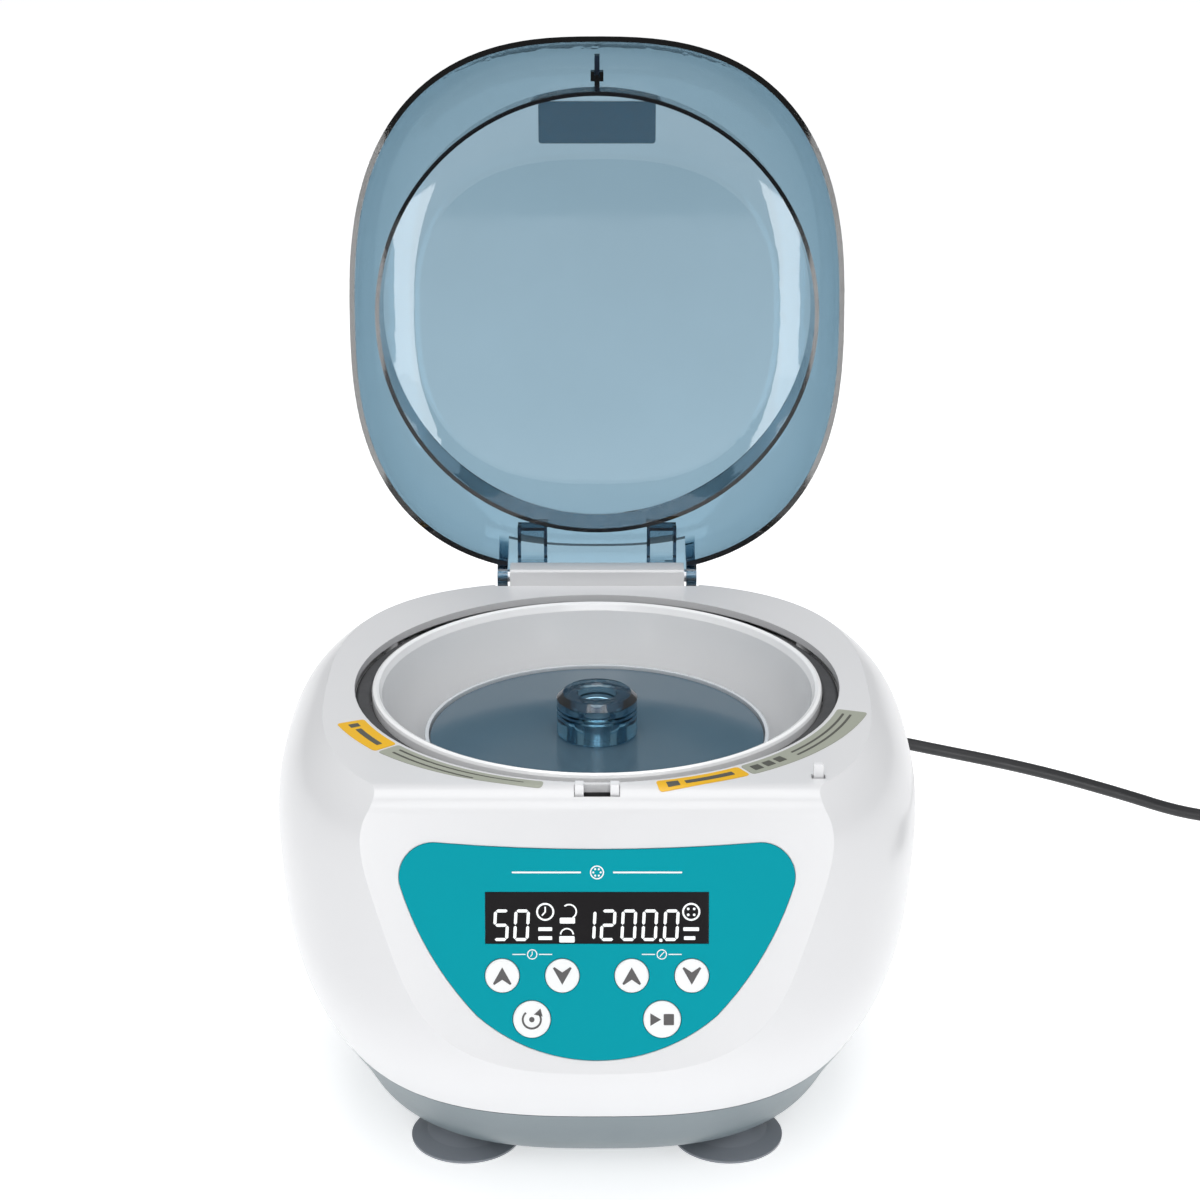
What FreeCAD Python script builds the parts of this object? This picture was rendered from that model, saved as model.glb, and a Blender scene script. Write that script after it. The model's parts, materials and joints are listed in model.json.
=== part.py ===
"""Bench centrifuge with a hinged clear lid, built as an assembly of separate pieces.

Millimetres. +X is to the operator's right, -Y faces the operator, +Z is up and the suction
feet stand on Z = 0. The rotor turns on a vertical axis at X = 0, Y = rotor_y, and rim_top is
the height of the bowl's rim. The lid stands open, leaning back on its hinge stop.
"""
import FreeCAD, Part
import math
import os
import re
import Sketcher
from FreeCAD import Placement, Rotation, Vector

doc = FreeCAD.newDocument("Centrifuge")
sheet = doc.addObject("Spreadsheet::Sheet", "Sizes")
pieces = []

SIZES = {
    # frame
    "rotor_y": -14.7, "rim_top": 190.0, "base_bottom": 8.0, "shell_wall": 3.5,
    # bowl, gasket and deck opening
    "rim_radius": 100.0, "bowl_radius": 95.5, "bowl_floor": 124.0, "bowl_wall": 2.0,
    "bowl_hole": 12.0, "flange_radius": 115.0, "flange_drop": 9.0, "opening_radius": 107.5,
    # lid and hinge
    "hinge_back": 128.6, "hinge_rise": 2.0, "lid_open": 95.5, "lid_width": 236.0,
    "lid_front": 259.0, "lid_height": 30.0, "lid_wall": 2.5, "ring_radius": 105.5,
    "ring_drop": 5.6, "pin_radius": 3.0, "bracket_half": 42.4,
    "neck_half": 48.6,
    # control panel, on the sloping front apron
    "panel_lean": 74.0, "panel_front": 117.0, "apron_round": 12.0, "overlay_thick": 1.1,
    "window_width": 90.8, "window_height": 21.4, "window_drop": 50.5,
    "arrow_radius": 6.9, "arrow_drop": 74.3, "mode_radius": 7.6, "mode_drop": 92.3,
    "key_gap": 0.3,
    # rotor
    "cover_radius": 74.9, "cover_top": 165.0, "cover_thick": 2.0, "rotor_radius": 77.0,
    "rotor_bottom": 134.0, "tube_radius": 5.5, "tube_count": 12.0, "knob_radius": 18.0,
    "knob_height": 19.4, "stud_radius": 6.0, "hub_radius": 9.0,
    # motor and its mounting
    "motor_radius": 34.0, "motor_bottom": 52.0, "plate_bottom": 112.0, "plate_thick": 3.0,
    "plate_radius": 72.0, "shaft_radius": 4.0, "bearing_radius": 11.0, "post_offset": 43.0,
    # feet
    "foot_radius": 24.5, "foot_side": 58.0, "foot_front": 69.0, "foot_back": 78.0,
    # mains connection
    "inlet_side": 38.0, "inlet_height": 85.0, "rear_face": 130.0, "rocker_side": 4.0,
    "cord_diameter": 6.5, "coil_radius": 38.0, "coil_thick": 10.0,
}

# Half width, front half depth and back half depth of the body at each height below the rim.
BODY_SECTIONS = (
    (182.0, 92.5, 94.0, 98.6),
    (155.0, 110.8, 121.0, 115.0),
    (125.0, 126.5, 143.0, 128.2),
    (95.0, 136.2, 152.0, 136.4),
    (65.0, 139.8, 150.0, 138.8),
    (35.0, 140.1, 147.0, 136.5),
    (12.0, 132.7, 145.0, 129.5),
    (0.0, 119.9, 139.0, 125.5),
)
BODY_POWER = 2.72

# Side view of the seam between the two housings: distance behind the rotor axis, height.
SEAM = (
    (-175, 45.5), (-120, 48), (-99, 54), (-79, 72), (-62, 100), (-48, 122),
    (-28, 138), (5, 145), (60, 148), (170, 149),
)

# Half of the panel overlay's outline as three-point arcs: side, distance down the apron.
OVERLAY_HALF = (
    ((0, 22.5), (32, 21.8), (64, 19.8)), ((64, 19.8), (76.6, 24.2), (80, 36.6)),
    ((80, 36.6), (68.6, 63.6), (48.6, 91.0)), ((48.6, 91.0), (26, 104.6), (0, 109.4)),
)

# Route of the mains lead from the connector's boot: side, behind the rotor axis, height.
CORD_ROUTE = (
    (38, 180, 85), (39, 203, 84.3), (51, 222, 81.5), (75, 231.5, 76.5), (108, 233, 69.5),
    (165, 230, 57.3), (234, 226, 44.3), (284, 222, 30), (319, 220.5, 17), (350, 220, 9.5),
    (380, 219, 7.5),
)
COIL_CENTRE = (386, 181)
TAIL_ROUTE = ((424, 176, 7), (424.5, 158, 5.5), (421, 141, 4.2), (413, 127, 3.8))
PLUG_TURN = 240.0


def fill_sheet():
    """Put every driving size in the sheet, one row each."""
    for row, (alias, value) in enumerate(SIZES.items(), start=1):
        sheet.set(f"A{row}", alias)
        sheet.set(f"B{row}", str(value))
        sheet.setAlias(f"B{row}", alias)
    doc.recompute()


def expression(text):
    """Sheet expression for a size written with the sheet's own names."""
    return re.sub(r"\b([a-z]+_[a-z]+)\b", r"Sizes.\1", str(text))


def bind(item, name, text):
    item.setExpression(name, expression(text))


def keep(item, label):
    """Name a finished piece; its label is the file name."""
    item.Label = label
    pieces.append(item)
    return item


def place(item, side, behind, height):
    """Put an item's origin at a point, with behind counted from the rotor axis."""
    bind(item, "Placement.Base.x", side)
    bind(item, "Placement.Base.y", f"rotor_y + ({behind})")
    bind(item, "Placement.Base.z", height)
    return item


def turn(item, axis, angle):
    """Turn an item about its own origin, with the angle as a sheet expression."""
    item.Placement = Placement(item.Placement.Base, Rotation(axis, 10.0))
    bind(item, "Placement.Rotation.Angle", angle)
    return item


def box(size, low=None):
    """A box by its three sizes, with its lowest corner at low."""
    item = doc.addObject("Part::Box", "Block")
    for name, text in zip(("Length", "Width", "Height"), size):
        bind(item, name, text)
    if low:
        for name, text in zip("xyz", low):
            bind(item, f"Placement.Base.{name}", text)
    return item


AXES = {"Z": Rotation(), "X": Rotation(Vector(0, 1, 0), 90), "Y": Rotation(Vector(1, 0, 0), -90)}


def cylinder(radius, height, base=(0, 0, 0), axis="Z"):
    """A cylinder that starts at base and runs along +X, +Y or +Z."""
    item = doc.addObject("Part::Cylinder", "Round")
    bind(item, "Radius", radius)
    bind(item, "Height", height)
    item.Placement = Placement(Vector(), AXES[axis])
    for name, text in zip("xyz", base):
        bind(item, f"Placement.Base.{name}", text)
    return item


def fused(items):
    item = doc.addObject("Part::MultiFuse", "Joined")
    item.Shapes = items
    return item


def cut(base, tools):
    item = doc.addObject("Part::Cut", "Cut")
    item.Base = base
    item.Tool = tools[0] if len(tools) == 1 else fused(tools)
    return item


def compound(items):
    item = doc.addObject("Part::Compound", "Group")
    item.Links = items
    return item


def plane_of(body, role):
    return next(f for f in body.Origin.OriginFeatures if f.Role == role)


def outline_sketch(body, role, corners):
    """A closed polygon whose corners are pairs of sheet expressions."""
    sketch = body.newObject("Sketcher::SketchObject", "Outline")
    sketch.AttachmentSupport = [(plane_of(body, role), "")]
    sketch.MapMode = "FlatFace"
    doc.recompute()
    values = [[evaluate(text) for text in corner] for corner in corners]
    points = [Vector(across, up, 0) for across, up in values]
    count = len(points)
    for i in range(count):
        sketch.addGeometry(Part.LineSegment(points[i], points[(i + 1) % count]), False)
    for i in range(count):
        sketch.addConstraint(Sketcher.Constraint("Coincident", i, 2, (i + 1) % count, 1))
    for i, (corner, value) in enumerate(zip(corners, values)):
        for kind, text, number in zip(("DistanceX", "DistanceY"), corner, value):
            index = sketch.addConstraint(Sketcher.Constraint(kind, i, 1, number))
            bind(sketch, f"Constraints[{index}]", text)
    return sketch


def evaluate(text):
    """Value of a sheet expression at this moment."""
    words = re.sub(r"\b([a-z]+_[a-z]+)\b", lambda m: str(SIZES[m.group(1)]), str(text))
    return float(sheet.evalExpression(words))


def turned(corners):
    """A piece turned about its local Z axis from a radius and height outline."""
    body = doc.addObject("PartDesign::Body", "Turned")
    sketch = outline_sketch(body, "XZ_Plane", corners)
    solid = body.newObject("PartDesign::Revolution", "Turn")
    solid.Profile = sketch
    solid.ReferenceAxis = (sketch, ["V_Axis"])
    solid.Angle = 360.0
    doc.recompute()
    return body


def pad(role, corners, length, midplane=False):
    """A plate padded from a polygon in one of the body's own planes."""
    body = doc.addObject("PartDesign::Body", "Plate")
    sketch = outline_sketch(body, role, corners)
    solid = body.newObject("PartDesign::Pad", "Thickness")
    solid.Profile = sketch
    bind(solid, "Length", length)
    solid.Midplane = midplane
    doc.recompute()
    return body


def ring(inner, outer, low, high):
    return turned(((inner, low), (outer, low), (outer, high), (inner, high)))


def sculpted(shape):
    """A free-form piece, in rotor coordinates, moved to the frame's origin."""
    item = doc.addObject("Part::Feature", "Sculpted")
    item.Shape = shape
    place(item, 0, 0, 0)
    return item


def solid_box(low, high):
    size = [b - a for a, b in zip(low, high)]
    return Part.makeBox(*size, Vector(*low))


def prism(points, low, high):
    """A polygon in the side view, as (behind, height), stretched from low to high along X."""
    wire = Part.makePolygon([Vector(low, y, z) for y, z in points + points[:1]])
    return Part.Face(wire).extrude(Vector(high - low, 0, 0))


# ---------------------------------------------------------------- housings

def squircle(half_width, front, back, power, height, count=40):
    """Closed curve of a rounded square, deeper in front than behind where the two differ."""
    points = []
    for i in range(count):
        angle = 2 * math.pi * i / count
        across = math.copysign(abs(math.cos(angle)) ** (2 / power), math.cos(angle))
        along = math.copysign(abs(math.sin(angle)) ** (2 / power), math.sin(angle))
        depth = back if along > 0 else front
        points.append(Vector(half_width * across, depth * along, height))
    curve = Part.BSplineCurve()
    curve.interpolate(points, PeriodicFlag=True)
    return Part.Wire(curve.toShape())


def bulb(inset):
    """The body's rounded outer form, or the hollow inside it when inset is the wall."""
    top = SIZES["rim_top"]
    wires = []
    for drop, side, front, back in BODY_SECTIONS:
        height = min(max(top - drop, SIZES["base_bottom"] + inset), top - inset)
        wires.append(squircle(side - inset, front - inset, back - inset, BODY_POWER, height))
    return Part.makeLoft(wires, True, False)


def apron_cutter(inset):
    """Everything in front of the sloping apron, which rolls over into the flat deck."""
    top = SIZES["rim_top"] - inset
    lean = math.radians(SIZES["panel_lean"])
    radius = SIZES["apron_round"] - inset
    slope = 1 / math.tan(lean)
    corner = (1 - inset) * slope + inset / math.sin(lean) - SIZES["panel_front"]
    reach = radius * math.tan(lean / 2)
    start = Vector(0, corner + reach, top)
    finish = Vector(0, corner - reach * math.cos(lean), top - reach * math.sin(lean))
    centre = Vector(0, corner + reach, top - radius)
    half = math.radians(90) + lean / 2
    middle = centre + Vector(0, math.cos(half), math.sin(half)) * radius
    low = Vector(0, finish.y - (finish.z - 20) * slope, 20)
    edges = [
        Part.LineSegment(Vector(0, start.y, 230), start).toShape(),
        Part.Arc(start, middle, finish).toShape(),
        Part.LineSegment(finish, low).toShape(),
        Part.LineSegment(low, Vector(0, -260, 20)).toShape(),
        Part.LineSegment(Vector(0, -260, 20), Vector(0, -260, 230)).toShape(),
        Part.LineSegment(Vector(0, -260, 230), Vector(0, start.y, 230)).toShape(),
    ]
    face = Part.Face(Part.Wire(edges))
    face.translate(Vector(-200, 0, 0))
    return face.extrude(Vector(400, 0, 0))


def seam_block(gap):
    """Everything below the seam between the housings."""
    curve = Part.BSplineCurve()
    curve.interpolate([Vector(-200, y, z - gap) for y, z in SEAM])
    first, last = curve.StartPoint, curve.EndPoint
    corners = [last, Vector(-200, last.y, -20), Vector(-200, first.y, -20), first]
    edges = [curve.toShape()]
    edges += [Part.LineSegment(a, b).toShape() for a, b in zip(corners, corners[1:])]
    return Part.Face(Part.Wire(edges)).extrude(Vector(400, 0, 0))


def body_shell():
    wall = SIZES["shell_wall"]
    outside = bulb(0).cut(apron_cutter(0))
    inside = bulb(wall).cut(apron_cutter(wall))
    return outside.cut(inside)


def panel_matrix():
    base = Vector(0, -SIZES["panel_front"], SIZES["rim_top"] - 1)
    return Placement(base, Rotation(Vector(1, 0, 0), SIZES["panel_lean"]))


def on_apron(shape):
    """Move a shape from panel coordinates (side, up the apron, out of it) to rotor ones."""
    moved = shape.copy()
    moved.Placement = panel_matrix().multiply(moved.Placement)
    return moved


def overlay_face(grow=0.0):
    """The panel overlay's outline as a face in panel coordinates, spread outwards by grow."""
    middle = Vector(0, -60, 0)
    edges = []
    for arc in OVERLAY_HALF:
        points = [Vector(side, -down, 0) for side, down in arc]
        points = [p + (p - middle).normalize() * grow for p in points]
        edges.append(Part.Arc(*points).toShape())
        edges.append(Part.Arc(*[Vector(-p.x, p.y, 0) for p in points]).toShape())
    return Part.Face(Part.Wire(Part.__sortEdges__(edges)))


KEYS = {
    "key_time_up": (-38.5, "arrow"), "key_time_down": (-14.1, "arrow"),
    "key_speed_up": (14.1, "arrow"), "key_speed_down": (38.5, "arrow"),
    "key_short_spin": (-26.5, "mode"), "key_start_stop": (26.5, "mode"),
}
SCREW_ANGLES = (30, 90, 150, 208, 332)
FEET = ((1, "front"), (-1, "front"), (1, "back"), (-1, "back"))


def key_holes(depth):
    """Round holes for the keys, in panel coordinates."""
    holes = []
    for side, kind in KEYS.values():
        radius = SIZES[f"{kind}_radius"] + SIZES["key_gap"]
        holes.append(Part.makeCylinder(radius, 2 * depth, Vector(side, -SIZES[f"{kind}_drop"], -depth)))
    return holes


def window_block(shrink, low, high):
    """Block the size of the display window, in panel coordinates."""
    half = SIZES["window_width"] / 2 - shrink
    rise = SIZES["window_height"] / 2 - shrink
    drop = SIZES["window_drop"]
    return solid_box((-half, -drop - rise, low), (half, -drop + rise, high))


def hinge_notch():
    """Space in the rear deck that the hinge bracket fills."""
    top = SIZES["rim_top"]
    return solid_box((-49.5, 119.5, top - 14), (49.5, 180, top + 20))


def rear_window():
    """Opening for the rear panel that carries the inlet and the power switch."""
    side, height = SIZES["inlet_side"], SIZES["inlet_height"]
    return solid_box((side - 50, 120, height - 17), (side + 24, 180, height + 17))


def screw_spot(angle):
    radius = 111.3
    return radius * math.cos(math.radians(angle)), radius * math.sin(math.radians(angle))


def upper_housing(shell):
    top = SIZES["rim_top"]
    shape = shell.cut(seam_block(0))
    for angle in SCREW_ANGLES:
        across, along = screw_spot(angle)
        boss = Part.makeCylinder(3.7, 7, Vector(across, along, top - 9))
        shape = shape.fuse(boss)
    tools = [Part.makeCylinder(SIZES["opening_radius"], 30, Vector(0, 0, top - 12)), hinge_notch()]
    tools.append(solid_box((-9.2, -115.3, top - 20), (9.2, -109.2, top + 5)))
    tools.append(solid_box((87.8, -103.8, top - 10), (93.4, -99.8, top + 5)))
    for angle in SCREW_ANGLES:
        across, along = screw_spot(angle)
        tools.append(Part.makeCylinder(1.6, 6, Vector(across, along, top - 9)))
    recess = overlay_face(0.25).extrude(Vector(0, 0, 5))
    recess.translate(Vector(0, 0, -0.8))
    tools += [on_apron(item) for item in [recess, window_block(1.2, -8, 2)] + key_holes(8)]
    return shape.cut(Part.makeCompound(tools)).removeSplitter()


def base_housing(shell):
    shape = shell.common(seam_block(0.5))
    low = SIZES["base_bottom"]
    tools = [rear_window()]
    for sign, end in FEET:
        spot = Vector(sign * SIZES["foot_side"], foot_along(end), low - 1)
        tools.append(Part.makeCylinder(2.3, 8, spot))
    for i in range(8):
        left = -78 + 7 * i
        tools.append(solid_box((left, 90, 62), (left + 3, 160, 104)))
    return shape.cut(Part.makeCompound(tools)).removeSplitter()


def foot_along(end):
    return SIZES["foot_back"] if end == "back" else -SIZES["foot_front"]


def housings():
    shell = body_shell()
    keep(sculpted(upper_housing(shell)), "upper_housing")
    keep(sculpted(base_housing(shell)), "base_housing")


def feet():
    """Four suction feet and the screws that hold them to the base."""
    cup = (
        (0, "4.2"), ("9", "4.2"), ("foot_radius - 2.4", 0), ("foot_radius", 0),
        ("foot_radius", 1.0), ("foot_radius - 7", "3.6"), (13, "6.4"), (11, "base_bottom"),
        (0, "base_bottom"),
    )
    screws = []
    for sign, end in FEET:
        along = "foot_back" if end == "back" else "-foot_front"
        side = "left" if sign < 0 else "right"
        foot = place(turned(cup), f"{sign} * foot_side", along, 0)
        keep(foot, f"suction_foot_{end}_{side}")
        screw = turned(((0, "base_bottom"), (2.2, "base_bottom"), (2.2, "base_bottom + 3.6"),
                        (4.5, "base_bottom + 3.6"), (4.5, "base_bottom + 6"), (0, "base_bottom + 6")))
        screws.append(place(screw, f"{sign} * foot_side", along, 0))
    keep(compound(screws), "foot_screws")


# ---------------------------------------------------------------- bowl

def bowl_pieces():
    """The steel chamber, its lid gasket, its screws and the seal round the drive hub."""
    rim = "rim_top"
    corners = (
        ("bowl_hole", "bowl_floor"), (83, "bowl_floor"), (91, "bowl_floor + 8"),
        ("bowl_radius", f"{rim} - 3.5"), ("bowl_radius + 1.3", f"{rim} - 0.7"),
        ("bowl_radius + 2.8", rim), ("rim_radius - 0.5", f"{rim} - 0.6"),
        ("rim_radius", f"{rim} - 1.8"), ("rim_radius", f"{rim} - flange_drop"),
        ("flange_radius", f"{rim} - flange_drop"),
        ("flange_radius", f"{rim} - flange_drop - bowl_wall"),
        ("bowl_radius + 2", f"{rim} - flange_drop - bowl_wall"),
        ("91 + bowl_wall", "bowl_floor + 7"), (84, "bowl_floor - bowl_wall"),
        ("bowl_hole", "bowl_floor - bowl_wall"),
    )
    notch = box((80, 40, 6), (-66, -145, "rim_top - flange_drop - 4"))
    holes = []
    for angle in SCREW_ANGLES:
        across, along = screw_spot(angle)
        holes.append(cylinder(1.7, 8, (across, along, "rim_top - flange_drop - 5")))
    back = box((110, 20, 6), (-55, 114, "rim_top - flange_drop - 4"))
    keep(place(cut(turned(corners), [notch, back] + holes), 0, 0, 0), "bowl")
    low = "rim_top - flange_drop"
    gasket = turned((
        ("rim_radius + 0.3", low), ("opening_radius - 0.3", low),
        ("opening_radius - 0.3", f"{low} + 4"), ("opening_radius - 1.6", f"{low} + 4.8"),
        ("rim_radius + 1.6", f"{low} + 4.8"), ("rim_radius + 0.3", f"{low} + 4"),
    ))
    keep(place(gasket, 0, 0, 0), "bowl_gasket")
    keep(place(ring("hub_radius + 0.5", 17, "bowl_floor", "bowl_floor + 1.6"), 0, 0, 0), "hub_seal")
    screws = []
    head = "rim_top - flange_drop - bowl_wall"
    for angle in SCREW_ANGLES:
        across, along = screw_spot(angle)
        screw = turned(((0, f"{head} - 2.2"), (3.2, f"{head} - 2.2"), (3.2, head), (1.5, head),
                        (1.5, f"{head} + 7"), (0, f"{head} + 7")))
        screws.append(place(screw, across, along, 0))
    keep(compound(screws), "bowl_screws")


# ---------------------------------------------------------------- rotor and motor

def tube_pockets():
    """Slanted pockets for the sample tubes, evenly round the rotor."""
    pockets = []
    count = int(SIZES["tube_count"])
    for i in range(count):
        turn_z = Rotation(Vector(0, 0, 1), 360.0 * i / count)
        spot = turn_z.multVec(Vector(41, 0, 166))
        pocket = doc.addObject("Part::Cylinder", "Pocket")
        bind(pocket, "Radius", "tube_radius")
        pocket.Height = 34
        pocket.Placement = Placement(spot, turn_z.multiply(Rotation(Vector(0, 1, 0), 135)))
        pockets.append(pocket)
    return pockets


def rotor_pieces():
    """The turned rotor, its smoked cover, the clamping knob and the hub that drives them."""
    under = "cover_top - cover_thick"
    blank = turned((
        ("hub_radius + 0.05", "rotor_bottom"), (62, "rotor_bottom"), ("rotor_radius", 152),
        ("rotor_radius", "cover_top + 1.2"), ("cover_radius + 0.4", "cover_top + 1.2"),
        ("cover_radius + 0.4", f"{under} - 0.3"), ("hub_radius + 0.05", f"{under} - 0.3"),
    ))
    keep(place(cut(blank, tube_pockets()), 0, 0, 0), "tube_rotor")
    cover = turned((
        ("stud_radius + 0.6", under), ("cover_radius", under), ("cover_radius", "cover_top - 0.5"),
        ("cover_radius - 0.5", "cover_top"), ("stud_radius + 0.6", "cover_top"),
    ))
    keep(place(cover, 0, 0, 0), "rotor_cover")
    low, high = "cover_top + 0.3", "cover_top + 0.3 + knob_height"
    knob = turned((
        ("stud_radius + 0.08", low), ("knob_radius - 0.8", low), ("knob_radius", f"{low} + 0.8"),
        ("knob_radius", f"{high} - 9.4"), ("knob_radius - 0.9", f"{high} - 8.9"),
        ("knob_radius", f"{high} - 8.4"), ("knob_radius", f"{high} - 7.2"),
        ("knob_radius - 0.9", f"{high} - 6.7"), ("knob_radius", f"{high} - 6.2"),
        ("knob_radius", f"{high} - 2.8"), ("knob_radius - 2.8", high), (9.4, high),
        (8.4, f"{high} - 1"), (8.4, f"{high} - 9"), ("stud_radius + 0.08", f"{high} - 9"),
    ))
    keep(place(knob, 0, 0, 0), "rotor_knob")
    top = "plate_bottom + plate_thick"
    hub = turned((
        ("shaft_radius", "plate_bottom + 2"), ("hub_radius", "plate_bottom + 2"),
        ("hub_radius", f"{under} - 0.3"), ("stud_radius", f"{under} - 0.3"),
        ("stud_radius", "cover_top + 9"), (0, "cover_top + 9"), (0, f"{top} + 6"),
        ("shaft_radius", f"{top} + 6"),
    ))
    keep(place(hub, 0, 0, 0), "drive_hub")
    shaft = cylinder("shaft_radius", f"{top} + 6 - 47")
    keep(place(shaft, 0, 0, 47), "motor_shaft")


def motor_pieces():
    """Brushless motor hung under a plate that floats on rubber mounts."""
    low, cap = "motor_bottom", "plate_bottom"
    pocket = "bearing_radius + 0.02"
    can = turned((
        (5.5, low), ("motor_radius", low), ("motor_radius", f"{cap} - 3"),
        ("motor_radius - 3", f"{cap} - 3"), ("motor_radius - 3", f"{low} + 3"),
        (13.5, f"{low} + 3"), (13.5, f"{low} + 9.5"), (pocket, f"{low} + 9.5"),
        (pocket, f"{low} + 2.5"), (5.5, f"{low} + 2.5"),
    ))
    keep(place(can, 0, 0, 0), "motor_can")
    bell = turned((
        (5.5, cap), ("motor_radius", cap), ("motor_radius", f"{cap} - 3"),
        ("motor_radius - 3.1", f"{cap} - 3"), ("motor_radius - 3.1", f"{cap} - 5"),
        (13.5, f"{cap} - 5"), (13.5, f"{cap} - 11"), (pocket, f"{cap} - 11"),
        (pocket, f"{cap} - 4"), (5.5, f"{cap} - 4"),
    ))
    keep(place(bell, 0, 0, 0), "motor_end_bell")
    bearings = []
    for start in (f"{low} + 2.5", f"{cap} - 11"):
        race = ring("shaft_radius + 0.05", "bearing_radius", start, f"{start} + 7")
        bearings.append(place(race, 0, 0, 0))
    keep(compound(bearings), "motor_bearings")
    stator = ring(20, "motor_radius - 3.1", f"{low} + 14", f"{cap} - 16")
    keep(place(stator, 0, 0, 0), "motor_stator")
    magnet = ring("shaft_radius", 19.3, f"{low} + 12", f"{cap} - 14")
    keep(place(magnet, 0, 0, 0), "motor_magnet")
    plate = cylinder("plate_radius", "plate_thick", (0, 0, cap))
    spots = [(a, b) for a in (1, -1) for b in (1, -1)]
    holes = [cylinder("hub_radius + 3", 20, (0, 0, f"{cap} - 5"))]
    mounts, pillars, screws = [], [], []
    for a, b in spots:
        across, along = f"{a} * post_offset", f"{b} * post_offset"
        holes.append(cylinder(2.6, 20, (across, along, f"{cap} - 5")))
        mounts.append(place(cylinder(9, 18), across, along, f"{cap} - 18"))
        pillars.append(place(cylinder(7, f"{cap} - 18 - base_bottom - shell_wall"), across, along,
                             "base_bottom + shell_wall"))
        screw = turned(((0, 0), (2.5, 0), (2.5, "plate_thick"), (4.6, "plate_thick"),
                        (4.6, "plate_thick + 2.8"), (0, "plate_thick + 2.8")))
        screws.append(place(screw, across, along, cap))
    keep(place(cut(plate, holes), 0, 0, 0), "motor_plate")
    keep(compound(mounts), "rubber_mounts")
    keep(compound(pillars), "support_pillars")
    keep(compound(screws), "mount_screws")


# ---------------------------------------------------------------- lid and hinge

# Lid dome: part of its height, then how far its sides, front and back have drawn in.
LID_STEPS = (
    (0, 0, 0, 0), (0.33, 1.2, 2.0, 1.2), (0.62, 5.0, 8.0, 6.0), (0.82, 11.0, 20.0, 14.0),
    (0.94, 19.5, 37.0, 25.0), (1.0, 29.0, 57.0, 38.0),
)


def lid_dome(inset):
    """The lid's outer form, or its hollow when inset is the wall.

    The hinge axis is the origin of the lid's coordinates and its front is at -Y.
    """
    base, middle = -0.8, 125.0
    rise = SIZES["lid_height"] - inset
    wires = []
    for part, side, front, back in LID_STEPS:
        wire = squircle(SIZES["lid_width"] / 2 - side - inset,
                        SIZES["lid_front"] - middle - front - inset,
                        middle - 1 - back - inset, 2.62, base + part * (rise - base))
        wire.translate(Vector(0, -middle, 0))
        wires.append(wire)
    return Part.makeLoft(wires, True, False)


def lid_shape():
    """Clear moulding: domed shell, skirt ring, hinge neck with two arms, and two hinge pads."""
    wall = SIZES["lid_wall"]
    rise = SIZES["lid_height"]
    neck_half = SIZES["neck_half"]
    centre = Vector(0, -SIZES["hinge_back"], 0)
    outside = lid_dome(0)
    hollow = lid_dome(wall)
    neck_top = rise - 9
    neck = prism([(-45, -0.8), (3, -0.8), (3, 13), (-6, neck_top), (-45, neck_top)],
                 -neck_half, neck_half)
    neck_hollow = prism([(-47, -2), (1, -2), (1, 12), (-7, neck_top - wall), (-47, neck_top - wall)],
                        -neck_half + 5, neck_half - 5)
    shell = outside.fuse(neck).cut(hollow.fuse(neck_hollow))
    ring_radius, drop = SIZES["ring_radius"], SIZES["ring_drop"]
    skirt = Part.makeCylinder(ring_radius, rise + drop, centre - Vector(0, 0, drop))
    skirt = skirt.cut(Part.makeCylinder(ring_radius - 2, 60, centre - Vector(0, 0, 10)))
    skirt = skirt.common(outside.fuse(neck).fuse(Part.makeCylinder(120, drop - 0.7,
                                                 centre - Vector(0, 0, drop))))
    shape = shell.fuse(skirt)
    for sign in (1, -1):
        inner, outer = sorted((sign * 24.5, sign * 39.0))
        pad_block = solid_box((inner, -22, 8.5), (outer, -2, neck_top - 1))
        pad_hollow = solid_box((inner + 1.6, -20.4, 7), (outer - 1.6, -3.6, neck_top - wall))
        shape = shape.fuse(pad_block.cut(pad_hollow))
        low, high = sorted((sign * (neck_half - 5), sign * neck_half))
        knuckle = Part.makeCylinder(5.4, 5, Vector(low, 0, 0), Vector(1, 0, 0))
        web = prism([(-5.4, 0), (5.4, 0), (3, 14), (-5.4, 14)], low, high)
        shape = shape.fuse(knuckle.fuse(web))
    gap = SIZES["bracket_half"] + 0.6
    shape = shape.cut(solid_box((-gap, -1, -20), (gap, 20, 12)))
    bore = Part.makeCylinder(SIZES["pin_radius"] + 0.05, 140, Vector(-70, 0, 0), Vector(1, 0, 0))
    rib = solid_box((-1.2, -250, 1), (1.2, -233.5, 22)).common(outside)
    return shape.fuse(rib).cut(bore)


def latch_hook_shape():
    """Striker plate under the lid's front, with a window that the latch bolt enters."""
    back = SIZES["hinge_back"]
    low = -SIZES["hinge_rise"] - 18
    plate = solid_box((-1, -back - 114.2, low), (1, -back - 109.8, 1))
    plate = plate.fuse(solid_box((-3, -back - 114.2, 1), (-1.2, -back - 109.8, 12)))
    plate = plate.fuse(solid_box((1.2, -back - 114.2, 1), (3, -back - 109.8, 12)))
    plate = plate.fuse(solid_box((-3, -back - 114.2, -1), (3, -back - 109.8, 1)))
    window = solid_box((-5, -back - 113.5, low + 2.2), (5, -back - 110.5, low + 8.4))
    return plate.cut(window)


def on_lid(item, label):
    """Place a solid made in lid coordinates at the open lid's angle."""
    group = compound([item])
    turn(group, Vector(1, 0, 0), "-lid_open")
    place(group, 0, "hinge_back", "rim_top + hinge_rise")
    return keep(group, label)


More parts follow.
